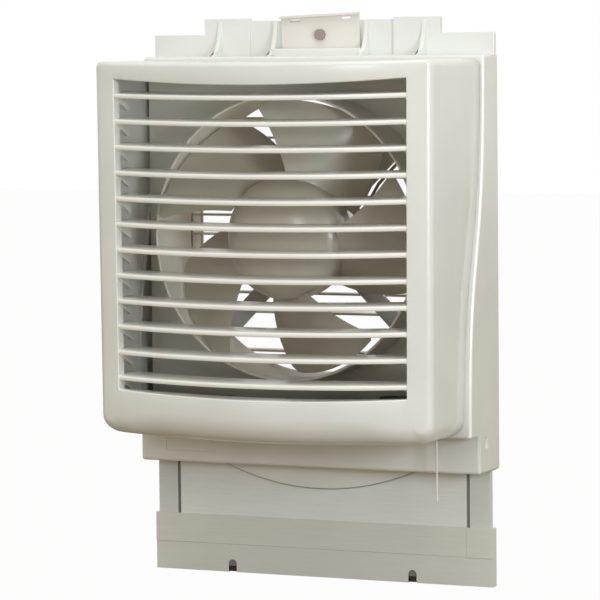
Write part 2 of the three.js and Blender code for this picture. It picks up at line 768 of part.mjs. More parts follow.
// ---------- window panels ----------
function innerPanel() {
  const half = panelThick / 2;
  const plate = box(-panelHalf, panelHalf, -half, half, panelBottom, panelTop);
  const grooves = [-1, 1].map((i) => box(i * grooveX - grooveWidth / 2, i * grooveX + grooveWidth / 2,
    -half - 1, -half + grooveDepth, panelBottom - 1, panelTop + 1));
  return cutBy(plate, grooves);
}

function lowerSleeve() {
  const half = sleeveThick / 2;
  const side = sleeveWidth / 2;
  const block = box(-side, side, -half, half, 0, sleeveHeight);
  const pocket = box(-panelHalf - slideGap, panelHalf + slideGap, -panelSlot + 0.1, panelSlot - 0.1,
    sleeveFloor, sleeveHeight + 1);
  const lowFace = box(-side - 1, side + 1, -half - 1, -half + lowRecess, -1, sleeveStep);
  const field = box(-grooveX + 1, grooveX - 1, -half - 1, -half + fieldRecess, sleeveStep - 1,
    sleeveHeight + 1);
  const round = notchWidth / 2;
  const notches = [-1, 1].map((i) => prismY([
    [i * notchX - round, -1], [i * notchX + round, -1],
    ...arc(i * notchX, notchHeight - round, round, 0, 180, 8),
  ], -half - 1, 0));
  return cutBy(block, [pocket, lowFace, field, ...notches]);
}

// ---------- catch plate ----------
const bayFront = wallFront + baySetback;
const catchBack = bayFront - seatGap;
const catchFront = catchBack - catchThick;

function tilted(x, y, z) {
  const [c, s] = [Math.cos(radians(catchTilt)), Math.sin(radians(catchTilt))];
  return [c * x - s * (z - catchScrewZ), y, catchScrewZ + s * x + c * (z - catchScrewZ)];
}

function tiltedBox(x0, x1, y0, y1, z0, z1) {
  return prismY([[x0, z0], [x1, z0], [x1, z1], [x0, z1]], y0, y1, tilted);
}

function catchPlate() {
  const plate = tiltedBox(-catchHalf, catchHalf, catchFront, catchBack, caseTop + 2, catchTop);
  const lip = tiltedBox(-catchHalf, catchHalf, catchFront - catchLip, catchBack,
    catchTop - catchThick, catchTop);
  const windows = [[-24, -16], [17, 24]].map(([x0, x1]) => tiltedBox(
    x0, x1, catchFront - 1, catchBack + 1, catchTop - 4.4, catchTop - 2.8));
  const hole = rodY(0, catchFront - 1, catchBack + 1, catchScrewZ, 2.3, 12);
  return cutBy(plate.add(lip), [...windows, hole]);
}

const catchNutFront = wallFront + wallThick + seatGap;

function catchNut() {
  const nut = prismY(circle(0, catchScrewZ, 4.6, 6), catchNutFront, catchNutFront + 2.6);
  return nut.subtract(rodY(0, catchNutFront - 1, catchNutFront + 4, catchScrewZ, 2.3, 12));
}

// ---------- all pieces ----------
add('front_cover', ivory, frontCover());
add('rear_casing', ivory, rearCasing());
add('bellmouth', ivoryInner, bellmouth());
add('propeller', bladeGrey, propeller());
add('hub_clamp', zinc, hubClamp());
add('motor_shaft', zinc, rodY(0, shaftFront, shaftRear, axisZ, shaftRadius, 24));
add('motor_rotor', darkSteel,
  tube(shaftRadius + seatGap, rotorRadius, statorFront, statorRear, 24));
add('stator_core', darkSteel,
  tube(statorBore, shellInner - seatGap, statorFront, statorRear, 32));
add('winding_front', copper, tube(statorBore + 1.5, statorRadius - 1,
  statorFront - seatGap - windingReach, statorFront - seatGap, 24));
add('winding_rear', copper, tube(statorBore + 1.5, statorRadius - 1,
  statorRear + seatGap, statorRear + seatGap + windingReach, 24));
add('motor_front_shell', zinc, motorFrontShell());
add('motor_rear_shell', zinc, motorRearShell());
add('front_bearing', zinc, bearing(motorFront + shellWall + seatGap));
add('rear_bearing', zinc, bearing(motorRear - 2 * seatGap - shellWall - bearingWidth));
add('motor_bracket', zinc, motorBracket());
fourWays.forEach(([x, z], i) => add(`motor_screw_${i + 1}`, zinc,
  screw(x, axisZ + z, bracketRear + seatGap, 1, 3, motorRear - 5, 1.3)));
corners.forEach(([i, k], n) => add(`bracket_screw_${n + 1}`, zinc,
  screw(i * armEndX, axisZ + k * armEndX, bracketRear - bracketThick - seatGap, 1.6, 3.2, 2, 1.3)));
corners.forEach(([i, k], n) => add(`bellmouth_screw_${n + 1}`, zinc,
  screw(i * postX, axisZ + k * postZ, caseRear - screwRecess + seatGap, 1.6, 3.2, 1, 1.4)));
add('shutter_frame', ivoryInner, shutterFrame());
bladeHeights.forEach((z, i) => add(`shutter_blade_${String(i + 1).padStart(2, '0')}`, ivoryInner,
  shutterBlade(z)));
add('shutter_link', ivoryInner, shutterLink());
add('pull_switch', blackPlastic, pullSwitch());
add('switch_lever', ivoryInner, switchLever());
add('pull_cord', cordWhite, pullCord());
add('cord_bush', ivoryInner, cordBush());
add('run_capacitor', blackPlastic, box(capacitorLeft, capacitorRight, switchFront, switchBack,
  floor, switchTop - capacitorDrop));
add('motor_lead', blackPlastic, leadTube(leadRadius, leadSteps));
add('lead_clip', blackPlastic, leadClip());
add('catch_plate', greyPanel, catchPlate());
add('catch_nut', zinc, catchNut());
add('catch_screw', rivetBrown, screw(0, catchScrewZ, catchFront - seatGap, 2, catchScrewRadius,
  catchNutFront + 4, 1.9));
add('inner_panel', greyPanel, innerPanel());
add('lower_sleeve', greyPanel, lowerSleeve());

export default fan;
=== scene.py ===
import json
import math

import bmesh
import bpy
import numpy as np
from mathutils import Matrix, Vector


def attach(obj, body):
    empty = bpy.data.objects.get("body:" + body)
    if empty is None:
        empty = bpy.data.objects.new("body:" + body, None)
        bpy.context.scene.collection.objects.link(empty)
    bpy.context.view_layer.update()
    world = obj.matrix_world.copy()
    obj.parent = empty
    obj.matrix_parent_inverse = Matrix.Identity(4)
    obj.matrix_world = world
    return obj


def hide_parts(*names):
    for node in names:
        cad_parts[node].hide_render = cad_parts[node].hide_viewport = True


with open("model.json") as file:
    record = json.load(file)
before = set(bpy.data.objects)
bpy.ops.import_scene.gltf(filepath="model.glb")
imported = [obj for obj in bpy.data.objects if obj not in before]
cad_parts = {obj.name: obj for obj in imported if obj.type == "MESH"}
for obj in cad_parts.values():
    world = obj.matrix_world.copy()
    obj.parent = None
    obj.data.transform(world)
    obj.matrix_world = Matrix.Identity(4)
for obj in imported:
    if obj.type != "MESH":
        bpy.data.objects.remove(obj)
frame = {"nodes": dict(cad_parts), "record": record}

nodes = frame["nodes"]
scene = bpy.context.scene
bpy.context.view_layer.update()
MM = 0.001

# ---------------------------------------------------------------------------
# The view: from the fan's right, a little above its middle, through a long
# lens, so that its upright edges stay nearly parallel.
# ---------------------------------------------------------------------------
camera_place = Vector((1018.23, -2279.09, 390.35)) * MM
azimuth = math.radians(24.42)
elevation = math.radians(4.28)
roll = math.radians(-0.57)
forward = Vector((
    -math.sin(azimuth) * math.cos(elevation),
    math.cos(azimuth) * math.cos(elevation),
    -math.sin(elevation),
))
level_right = Vector((math.cos(azimuth), math.sin(azimuth), 0))
level_up = level_right.cross(forward)
right = math.cos(roll) * level_right + math.sin(roll) * level_up
up = math.cos(roll) * level_up - math.sin(roll) * level_right
turn = Matrix((right, up, -forward)).transposed().to_4x4()

camera_data = bpy.data.cameras.new("camera")
camera_data.sensor_width = 36
camera_data.lens = 206.1
camera_data.clip_end = 20
camera = bpy.data.objects.new("camera", camera_data)
camera.matrix_world = Matrix.Translation(camera_place) @ turn
scene.collection.objects.link(camera)
scene.camera = camera
scene.view_settings.view_transform = "Standard"


# ---------------------------------------------------------------------------
# The studio: a pale floor under the sill sleeve, a white surround, a broad
# soft lamp overhead, a smaller one on the fan's right and a weak one ahead.
# ---------------------------------------------------------------------------
class Value:
    """A node's output. Python's own operators on it add Math nodes."""

    def __init__(self, look, socket):
        self.look = look
        self.socket = socket

    def math(self, operation, first, second):
        return self.look.node("ShaderNodeMath", {"operation": operation}, {0: first, 1: second})

    def __add__(self, other):
        return self.math("ADD", self, other)

    def __sub__(self, other):
        return self.math("SUBTRACT", self, other)

    def __mul__(self, other):
        return self.math("MULTIPLY", self, other)

    def __gt__(self, other):
        return self.math("GREATER_THAN", self, other)

    def __lt__(self, other):
        return self.math("LESS_THAN", self, other)

    __radd__ = __add__
    __rmul__ = __mul__

    def __rsub__(self, other):
        return self.math("SUBTRACT", other, self)


class Nodes:
    """A node tree that is filled with one call for each node."""

    def __init__(self, tree):
        self.tree = tree
        tree.nodes.clear()

    def node(self, kind, settings, sockets, outputs=0):
        """Adds a node of that type with its settings and its sockets. Gives the output, or several."""
        made = self.tree.nodes.new(kind)
        for name, setting in settings.items():
            if name == "stops":
                ramp = made.color_ramp
                while len(ramp.elements) < len(setting):
                    ramp.elements.new(0.5)
                for element, (place, color) in zip(ramp.elements, setting):
                    element.position = place
                    element.color = (*color, 1)
            else:
                setattr(made, name, setting)
        for name, given in sockets.items():
            if isinstance(given, Value):
                self.tree.links.new(given.socket, made.inputs[name])
            else:
                made.inputs[name].default_value = given
        if isinstance(outputs, tuple):
            return [Value(self, made.outputs[name]) for name in outputs]
        return Value(self, made.outputs[outputs]) if made.outputs else None


# The camera sees a white surround. What falls on the fan from it is weaker and warmer.
white = (1, 1, 1, 1)
fill_color = (1, 0.925, 0.8, 1)
fill_strength = 0.73
mirrored_white = 0.6
world = bpy.data.worlds.new("studio")
scene.world = world
world.use_nodes = True
sky = Nodes(world.node_tree)
seen, glossy, transmitted = sky.node(
    "ShaderNodeLightPath", {}, {}, ("Is Camera Ray", "Is Glossy Ray", "Is Transmission Ray"))
white_share = sky.node(
    "ShaderNodeMath", {"operation": "MAXIMUM"}, {0: seen, 1: glossy * mirrored_white + transmitted})
fill = sky.node("ShaderNodeBackground", {}, {"Color": fill_color, "Strength": fill_strength})
surround = sky.node("ShaderNodeBackground", {}, {"Color": white, "Strength": 1})
sky_mix = sky.node("ShaderNodeMixShader", {}, {0: white_share, 1: fill, 2: surround})
sky.node("ShaderNodeOutputWorld", {}, {"Surface": sky_mix})

floor_half = 6
floor_drop = 0.0006
floor_color = (0.3, 0.25, 0.18, 1)
floor_whiteness = 0.975
floor_mesh = bpy.data.meshes.new("floor")
floor_corners = [(sx * floor_half, sy * floor_half, 0) for sx, sy in ((-1, -1), (1, -1), (1, 1), (-1, 1))]
floor_mesh.from_pydata(floor_corners, [], [(0, 1, 2, 3)])
floor = bpy.data.objects.new("floor", floor_mesh)
floor.location.z = -floor_drop
scene.collection.objects.link(floor)
floor_look = bpy.data.materials.new("pale_floor")
floor_look.use_nodes = True
ground = Nodes(floor_look.node_tree)
seen_floor = ground.node("ShaderNodeLightPath", {}, {}, "Is Camera Ray")
matt_floor = ground.node("ShaderNodeBsdfDiffuse", {}, {"Color": floor_color})
lit_floor = ground.node("ShaderNodeEmission", {}, {"Color": white, "Strength": 1})
floor_mix = ground.node(
    "ShaderNodeMixShader", {}, {0: seen_floor * floor_whiteness, 1: matt_floor, 2: lit_floor})
ground.node("ShaderNodeOutputMaterial", {}, {"Surface": floor_mix})
floor.data.materials.append(floor_look)

lamp_color = (0.88, 0.96, 1)


def soft_lamp(name, place, aim, size, power):
    """A square lamp. Its place, aim and size are in metres, its power in watts."""
    data = bpy.data.lights.new(name, "AREA")
    data.shape = "SQUARE"
    data.size = size
    data.energy = power
    data.color = lamp_color
    lamp = bpy.data.objects.new(name, data)
    lamp.location = place
    lamp.rotation_euler = (Vector(aim) - Vector(place)).to_track_quat("-Z", "Y").to_euler()
    scene.collection.objects.link(lamp)


soft_lamp("overhead", (0.1, -0.75, 1.95), (0, 0, 0.25), 1.1, 10)
soft_lamp("front_right", (1.3, -0.95, 0.44), (0, 0, 0.23), 0.4, 9.2)
soft_lamp("front", (-0.1, -2.2, 0.65), (0, 0, 0.25), 0.3, 2.6)


# ---------------------------------------------------------------------------
# The front cover: one ivory ABS moulding, bowed forward at its middle, with
# twelve slats and the reveal round its opening. It hinges on the casing along
# its top edge. Its slats and its inner side are painted paler than its face:
# painted light, for the light that falls in between the slats.
# ---------------------------------------------------------------------------
def finish(name, color, roughness, metallic=0, grain=0.6, depth=0.02, coat=0, painted_shade=None):
    """A surface of one colour whose tone and gloss drift a little, over a fine grain.

    grain is the grain's size and depth its height, in mm. coat is the weight of the shine on it.
    The last argument, a rule of x and z, gives how far painted shade darkens a place.
    """
    drift = 0.03
    cloud_scale = 22
    fine_gloss = 0.08
    cloud_gloss = 0.1
    coat_roughness = 0.16
    # The dark brown of painted shade.
    painted_shade_color = (0.13, 0.1, 0.06, 1)
    material = bpy.data.materials.new(name)
    material.use_nodes = True
    look = Nodes(material.node_tree)
    place = look.node("ShaderNodeTexCoord", {}, {}, "Object")
    fine = look.node(
        "ShaderNodeTexNoise", {}, {"Vector": place, "Scale": 1000 / grain, "Detail": 2}, "Fac")
    cloud = look.node(
        "ShaderNodeTexNoise", {}, {"Vector": place, "Scale": cloud_scale, "Detail": 3}, "Fac")
    darker = [channel * (1 - drift) for channel in color]
    paler = [min(1, channel * (1 + drift)) for channel in color]
    tone = look.node(
        "ShaderNodeValToRGB", {"stops": [(0.3, darker), (0.7, paler)]}, {"Fac": cloud}, "Color")
    # Painted shade: the tone is mixed toward the dark brown where the rule asks.
    if painted_shade:
        x, z = look.node("ShaderNodeSeparateXYZ", {}, {0: place}, ("X", "Z"))
        tone = look.node("ShaderNodeMix", {"data_type": "RGBA"}, {
            "Factor": painted_shade(x, z), "A": tone, "B": painted_shade_color}, "Result")
    even_gloss = roughness - (fine_gloss + cloud_gloss) / 2
    gloss = fine * fine_gloss + cloud * cloud_gloss + even_gloss
    bump = look.node("ShaderNodeBump", {}, {"Height": fine, "Distance": depth * MM, "Strength": 1})
    surface = look.node("ShaderNodeBsdfPrincipled", {}, {
        "Base Color": tone, "Roughness": gloss, "Metallic": metallic, "Normal": bump,
        "Coat Weight": coat, "Coat Roughness": coat_roughness})
    look.node("ShaderNodeOutputMaterial", {}, {"Surface": surface})
    return material


def paint(slot, look):
    """Give the solids of one material slot their look."""
    for part in frame["record"]["subparts"]:
        if part["material_slot"] == slot:
            materials = nodes[part["node"]].data.materials
            materials.clear()
            materials.append(look)


ivory_color = (0.775, 0.79, 0.775)
ivory = finish("ivory_abs", ivory_color, 0.32, depth=0.008, coat=0.7)
# A paler copy of the ivory for the slats and the cover's inner side: painted light.
ivory_painted_lighter = finish("ivory_painted_lighter_abs", (0.885, 0.885, 0.86), 0.34, depth=0.008, coat=0.5)
paint("ivory", ivory)

cover_half = 130
cover_top = 378.6
cover_bottom = 113.1
cover_front = -101.5
cover_bulge = 18
cover_wall = 2.4
cover_flare = 2.1
cover_taper = 1.8
bow_top = 1.4
bow_bottom = 3.6
corner_top = 5
corner_bottom = 13
opening_half = 112.8
opening_top = 366
opening_bottom = 144.6
opening_bow_top = 4.4
opening_bow_bottom = 3.2
opening_round = 0.8
reveal_rear = -96.5
reveal_round = 0.4
reveal_wall = 2.2
seam_depth = -30
seam_swing = 14.6
seam_level = 242
seam_spread = 57
seam_gap = 0.3


def front_at(x):
    """Depth of the bowed face."""
    return cover_front - cover_bulge * (1 - (x / cover_half) ** 2)


def rear_at(z):
    """Depth of the curved line where the cover meets the casing."""
    return seam_depth + seam_swing * math.tanh((z - seam_level) / seam_spread)


def drafted(point):
    """The cover widens a little toward its back and narrows a little toward its foot."""
    x, y, z = point
    flare = cover_flare * (y - cover_front) / (rear_at(cover_top) - cover_front)
    taper = cover_taper * (cover_top - z) / (cover_top - cover_bottom)
    return Vector((x * (1 + (flare - taper) / cover_half), y, z))


def arc(u, v, radius, start, stop, steps):
    """Points of an arc with the outward direction at each, angles in degrees."""
    points = []
    for angle in np.radians(np.linspace(start, stop, steps + 1)):
        c, s = math.cos(angle), math.sin(angle)
        points.append((u + radius * c, v + radius * s, c, s))
    return points


def edge_points(xs, height, bow, side):
    """Points of a bowed top (side 1) or bottom (side -1) edge, with their outward directions."""
    points = []
    for x in xs:
        slope = 2 * bow * x / cover_half ** 2
        length = math.hypot(1, slope)
        z = height - bow * (1 - (x / cover_half) ** 2)
        points.append((x, z, -side * slope / length, side / length))
    return points


def mirrored(points):
    return [(-x, z, -nx, nz) for x, z, nx, nz in reversed(points)]


# The outline, from the bottom's middle up the right side to the top's middle and back.
hole_edge = opening_half + opening_round
hole_low = opening_bottom - opening_round
hole_high = opening_top + opening_round
across = list(np.linspace(0, hole_edge, 23))
upright = list(np.linspace(hole_low, hole_high, 27))
low_start = edge_points([cover_half - corner_bottom], cover_bottom, bow_bottom, -1)[0][1] + corner_bottom
high_start = edge_points([cover_half - corner_top], cover_top, bow_top, 1)[0][1] - corner_top
bottom_edge = edge_points(across, cover_bottom, bow_bottom, -1)
low_corner = arc(cover_half - corner_bottom, low_start, corner_bottom, -90, 0, 10)
steps_up = [low_start + 6, low_start + 12]
side_edge = [(cover_half, z, 1, 0) for z in [*steps_up, *upright]]
high_corner = arc(cover_half - corner_top, high_start, corner_top, 0, 90, 6)
top_edge = edge_points(across[::-1], cover_top, bow_top, 1)
right_rim = [*bottom_edge, *low_corner, *side_edge, *high_corner, *top_edge]
rim = [*right_rim, *mirrored(right_rim)[1:-1]]

round_side = 4.5
round_less_top = 1.2
round_more_bottom = 8.5
round_more_chin = 6
chin_clear = 4
chin_half = cover_half - corner_bottom - chin_clear
chin_fade = 40


def edge_round(x, nz):
    """Radius of the front edge, which is largest in the middle of the bottom and least on the top."""
    if nz > 0:
        return round_side - round_less_top * nz
    chin = min(1, max(0, (chin_half - abs(x)) / chin_fade))
    return round_side + round_more_bottom * nz ** 2 + round_more_chin * chin ** 2 * (3 - 2 * chin)


class Shell:
    """A mesh that is filled ring by ring, in millimetres."""

    def __init__(self):
        self.bm = bmesh.new()

    def ring(self, points):
        return [self.bm.verts.new(point) for point in points]

    def bridge(self, first, second, closed=True):
        count = len(first)
        for i in range(count if closed else count - 1):
            j = (i + 1) % count
            self.bm.faces.new((first[i], first[j], second[j], second[i]))

    def tube(self, rings):
        for first, second in zip(rings, rings[1:]):
            self.bridge(first, second)

    def capped(self, rings):
        """A closed loft through rings of points."""
        loops = [self.ring(ring) for ring in rings]
        self.tube(loops)
        self.bm.faces.new(loops[0])
        self.bm.faces.new(loops[-1])

    def as_piece(self, name, look, body, replaced=(), sharp=35):
        """The shell as a piece that rides on a body, with edges over that angle left sharp."""
        bmesh.ops.remove_doubles(self.bm, verts=self.bm.verts, dist=1e-5)
        bmesh.ops.recalc_face_normals(self.bm, faces=self.bm.faces)
        bmesh.ops.scale(self.bm, vec=(MM, MM, MM), verts=self.bm.verts)
        mesh = bpy.data.meshes.new(name)
        self.bm.to_mesh(mesh)
        self.bm.free()
        for face in mesh.polygons:
            face.use_smooth = True
        mesh.set_sharp_from_angle(angle=math.radians(sharp))
        mesh.materials.append(look)
        piece = bpy.data.objects.new(name, mesh)
        scene.collection.objects.link(piece)
        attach(piece, body)
        if replaced:
            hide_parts(*replaced)
        return piece


cover = Shell()


def rim_ring(inset, depth):
    """A ring that follows the cover's outline. inset and depth are rules of the edge's rounding there."""
    points = []
    for x, z, nx, nz in rim:
        rounding = edge_round(x, nz)
        gap = inset(rounding)
        px, pz = x - nx * gap, z - nz * gap
        points.append((px, depth(px, pz, rounding), pz))
    return cover.ring(points)


def roll_ring(angle):
    """A ring on the rounded front edge, from the face (0 degrees) to the side wall (90)."""
    c, s = 1 - math.cos(math.radians(angle)), 1 - math.sin(math.radians(angle))
    return rim_ring(lambda r: r * s, lambda x, z, r: front_at(x) + r * c)


# Round the front edge, back along the wall, round its thin rear edge, and forward inside.
outer = [roll_ring(angle) for angle in np.linspace(0, 90, 8)]
for share in (0.3, 0.65):
    outer.append(rim_ring(
        lambda r: 0, lambda x, z, r: (1 - share) * (front_at(x) + r) + share * (rear_at(z) - seam_gap)))
for inward, short in ((0, 0.5), (0.15, 0.12), (0.5, 0), (cover_wall, 0)):
    outer.append(rim_ring(lambda r: inward, lambda x, z, r: rear_at(z) - seam_gap - short))
outer.append(rim_ring(lambda r: cover_wall, lambda x, z, r: front_at(x) + r + 1))
outer.append(rim_ring(lambda r: r + 0.8, lambda x, z, r: front_at(x) + cover_wall))
cover.tube(outer)


def hole_ring(grow, depth):
    """A ring round the opening, that much larger than it. depth is a rule of x."""
    half = opening_half + grow
    low = opening_bottom - grow
    high = opening_top + grow
    scale = half / hole_edge
    xs = [x * scale for x in across]
    lows = [(x, low - opening_bow_bottom * max(0, 1 - (x / opening_half) ** 2)) for x in xs]
    highs = [(x, high - opening_bow_top * max(0, 1 - (x / opening_half) ** 2)) for x in xs]
    sides = [(half, low + (high - low) * i / (len(upright) - 1)) for i in range(1, len(upright) - 1)]
    half_loop = [*lows, *sides, *reversed(highs)]
    loop = [*half_loop, *[(-x, z) for x, z in reversed(half_loop)][1:-1]]
    return cover.ring([(x, depth(x), z) for x, z in loop])


# Round the opening's front edge, back along the reveal, round its rear edge, and forward behind it.
hole = []
for angle in np.radians(np.linspace(0, 90, 6)):
    grow = opening_round * (1 - math.sin(angle))
    deeper = opening_round * (1 - math.cos(angle))
    hole.append(hole_ring(grow, lambda x: front_at(x) + deeper))
hole.append(hole_ring(0, lambda x: reveal_rear - reveal_round))
hole.append(hole_ring(reveal_round, lambda x: reveal_rear))
hole.append(hole_ring(reveal_wall, lambda x: reveal_rear))
hole.append(hole_ring(reveal_wall, lambda x: front_at(x) + cover_wall))
cover.tube(hole)


def fill_face(outside, inside):
    """The face between the outline and the opening: bands along each side, one piece in each corner."""
    bottom = len(across)
    first_side = bottom + len(low_corner) + len(steps_up)
    last_side = first_side + len(upright) - 1
    top = last_side + len(high_corner) + 1
    inner_side = bottom - 1
    inner_top = inner_side + len(upright) - 1
    half_out = len(right_rim)
    half_in = inner_top + bottom
    for side in (1, -1):
        wide = [outside[side * i % len(outside)] for i in range(half_out)]
        small = [inside[side * i % len(inside)] for i in range(half_in)]
        cover.bridge(wide[:bottom], small[:bottom], closed=False)
        cover.bridge(wide[first_side:last_side + 1], small[inner_side:inner_top + 1], closed=False)
        cover.bridge(wide[top:half_out], small[inner_top:half_in], closed=False)
        cover.bm.faces.new([*wide[bottom - 1:first_side + 1], small[inner_side]])
        cover.bm.faces.new([*wide[last_side:top + 1], small[inner_top]])


fill_face(outer[0], hole[0])
fill_face(outer[-1], hole[-1])

# Each slat has a rolled front lip and thins toward its back. A web under each end joins it to the
# reveal. Sections run back from the slat's front and up.
slat_count = 12
slat_pitch = 18.3
slat_first = 354.5
slat_inset = 0.5
slat_overrun = 1
slat_depth = 22
slat_rise = 0.115
slat_nose = [(1.1, -1.7), (0.45, -1.5), (0.1, -1.0), (0, -0.3),
             (0, 0.6), (0.15, 1.2), (0.6, 1.6), (1.3, 1.75)]
slat_heel = [(0.95, 0.9), (0.99, 0.6), (1, 0), (0.99, -0.6), (0.95, -0.9)]
slat_section = [*slat_nose, *[(u * slat_depth, v + slat_rise * u * slat_depth) for u, v in slat_heel]]
web_section = [(-1, -1), (18, 1), (18, -10.5), (15.5, -10.5), (-1, -2)]
web_inset = 3
web_overrun = 0.5
web_thick = 2.4


def slat_level(row, x):
    """Height of a slat's front, which dips where the cover bows forward."""
    return slat_first - row * slat_pitch - slat_rise * cover_bulge * (1 - (x / cover_half) ** 2)


for row in range(slat_count):
    rings = []
    for x in np.linspace(-opening_half - slat_overrun, opening_half + slat_overrun, 45):
        y, z = front_at(x) + slat_inset, slat_level(row, x)
        rings.append([(x, y + u, z + v) for u, v in slat_section])
    cover.capped(rings)
    for side in (-1, 1):
        wall = side * (opening_half + web_overrun)
        y, z = front_at(wall) + web_inset, slat_level(row, wall)
        cover.capped([[(x, y + u, z + v) for u, v in web_section]
                      for x in (wall, wall - side * web_thick)])

for vertex in cover.bm.verts:
    vertex.co = drafted(vertex.co)
cover_piece = cover.as_piece("cover_shell", ivory, "cover", ["front_cover"])
# The cover's second material is the paler ivory, painted light on the slats and inner side.
cover_piece.data.materials.append(ivory_painted_lighter)

# How far in from the face, the slats' front, the top and the bottom the plain ivory reaches before the paler
# ivory of painted light begins.
face_skin = 1.5
slat_skin = 0.4
rear_skin = 1
top_skin = 6
bottom_skin = 12
outward = 0.3
outward_side = 40


def painted_lighter_face(middle, normal):
    """Whether a face is on a slat or on the cover's inner side, which are painted paler as painted light."""
    x, y, z = middle
    if abs(x) < opening_half + 1 and opening_bottom - 4 < z < opening_top + 5:
        return y > front_at(x) + slat_skin
    outer_side = x * normal.x > outward_side
    outer_top = z > cover_top - top_skin and normal.z > outward
    outer_bottom = z < cover_bottom + bottom_skin and normal.z < -outward
    within = front_at(x) + face_skin < y < rear_at(z) - rear_skin
    return within and not (outer_side or outer_top or outer_bottom)


# Painted light: the slats and the inner faces take the paler ivory.
for face in cover_piece.data.polygons:
    face.material_index = int(painted_lighter_face(face.center / MM, face.normal))


# ---------------------------------------------------------------------------
# The rear casing: one ivory ABS moulding, a shallow box with an arched skirt
# below and a thin stepped wall above that four gussets stiffen. It slides on
# the window panel. Painted shade darkens the skirt's arched foot. Its front
# edge is glossy, and painted paler there as a painted highlight.
# ---------------------------------------------------------------------------
def softened(node, body, look, width, broad=(), pale=None):
    """A piece that stands for a solid, with its sharp outer edges rounded by that width in mm.

    broad pairs rules on an edge's ends with larger widths. pale pairs a rule on a face's middle and
    direction with the look of the faces that it picks.
    """
    bm = bmesh.new()
    bm.from_mesh(nodes[node].data)
    bmesh.ops.remove_doubles(bm, verts=bm.verts, dist=1e-6)
    flat_within, sharp_over, shaded_over = np.radians((0.6, 35, 28))
    fine_width = 0.8
    bmesh.ops.dissolve_limit(bm, angle_limit=flat_within, verts=bm.verts, edges=bm.edges)
    for rule, reach in (*broad, (lambda p: True, width)):
        sharp = [edge for edge in bm.edges
                 if len(edge.link_faces) == 2 and edge.is_convex
                 and edge.calc_face_angle() > sharp_over
                 and all(rule(vertex.co / MM) for vertex in edge.verts)]
        bmesh.ops.bevel(
            bm, geom=sharp, offset=reach * MM, offset_type="OFFSET",
            segments=2 if reach < fine_width else 5, profile=0.5, clamp_overlap=False, affect="EDGES")
    if pale:
        for face in bm.faces:
            face.material_index = int(pale[0](face.calc_center_median() / MM, face.normal))
    mesh = bpy.data.meshes.new(node + "_soft")
    bm.to_mesh(mesh)
    bm.free()
    for face in mesh.polygons:
        face.use_smooth = True
    mesh.set_sharp_from_angle(angle=shaded_over)
    mesh.materials.append(look)
    if pale:
        mesh.materials.append(pale[1])
    piece = bpy.data.objects.new(node + "_soft", mesh)
    scene.collection.objects.link(piece)
    flat = piece.modifiers.new("flat_faces", "WEIGHTED_NORMAL")
    flat.keep_sharp = True
    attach(piece, body)
    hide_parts(node)


axis = 252
case_half = 134.5
case_top = 381
case_bottom = 83.8
case_wall_face = -3
skirt_radius = 187
skirt_half = 90
# Width and strength of the painted shade along the skirt's foot.
skirt_shade_width = 0.9
skirt_shade_strength = 0.6
gusset_inner = 30
gusset_outer = 90
gusset_top = 401
highlight_inner = 132
highlight_foot = 110


def skirt_painted_shade(x, z):
    """Painted shade along the skirt's arched lower edge."""
    rise = z - axis * MM
    near_edge = x * x + rise * rise > ((skirt_radius - skirt_shade_width) * MM) ** 2
    return near_edge * (z < (case_bottom - 0.3) * MM) * skirt_shade_strength


def outer_edge(p):
    return abs(p.x) > case_half - 0.1 and p.z < case_top + 0.5


def gusset_edge(p):
    return (case_top + 0.6 < p.z < gusset_top and p.y < case_wall_face
            and gusset_inner < abs(p.x) < gusset_outer)


def skirt_edge(p):
    return p.z < case_bottom - 0.1 and p.y < case_wall_face and abs(p.x) < skirt_half


def painted_highlight_edge(p, n):
    """The rounding along the casing's curved front edge, above the ledge, which is glossier and painted
    paler as a painted highlight.
    """
    return abs(p.x) > highlight_inner and p.z > highlight_foot and n.y < -0.25 and abs(n.x) > 0.2


# The casing's ivory, with painted shade along the skirt's foot.
ivory_casing = finish("ivory_casing_abs", ivory_color, 0.32, depth=0.008, coat=0.7, painted_shade=skirt_painted_shade)
# Glossier ivory, paler as a painted highlight, for the casing's front edge.
glossy_painted_highlight = finish("ivory_painted_highlight_abs", (0.97, 0.975, 0.955), 0.2, depth=0.004, coat=1)
softened("rear_casing", "casing", ivory_casing, 0.45,
         broad=((outer_edge, 2.2), (gusset_edge, 1.2), (skirt_edge, 1.4)), pale=(painted_highlight_edge, glossy_painted_highlight))

# ---------------------------------------------------------------------------
# The catch on the top wall: a painted steel plate that slides along its
# slot, clamped by a dull brown screw.
# ---------------------------------------------------------------------------
catch_paint = finish("catch_paint", (0.76, 0.73, 0.69), 0.45)
brown_metal = finish("dull_screw", (0.35, 0.31, 0.28), 0.4, metallic=0.6)
paint("catch_paint", catch_paint)
paint("brown_metal", brown_metal)
softened("catch_plate", "catch", catch_paint, 0.3)

# ---------------------------------------------------------------------------
# The motor bracket: pressed steel, zinc plated, four arms screwed to the
# casing. The motor's shells, its screws and the catch's nut are plated too.
# ---------------------------------------------------------------------------
zinc = finish("zinc_plate", (0.66, 0.67, 0.68), 0.35, metallic=1, grain=0.3, depth=0.004)
paint("zinc", zinc)
softened("motor_bracket", "casing", zinc, 0.3)

# ---------------------------------------------------------------------------
# The two window panels: extruded grey vinyl with faint draw lines along its
# width. The inner panel slides in the lower sleeve, which stands on the sill
# rail. The panel's two grooves are darker, and painted shade darkens the
# sleeve's two slots and the panel's foot behind them.
# ---------------------------------------------------------------------------
groove_x = 115.5
groove_half = 1.2
groove_floor = -2.45
slot_x = 72
slot_half = 3.4
slot_top = 9.5
flank_color = (0.42, 0.45, 0.45, 1)
# The dark brown of the grooves and of the painted shade at the slots.
darkening_color = (0.06, 0.045, 0.03, 1)
draw_stretch = (0.05, 1, 1)
draw_scale = 900
draw_depth = 0.02
draw_gloss = 0.12
vinyl_gloss = 0.4


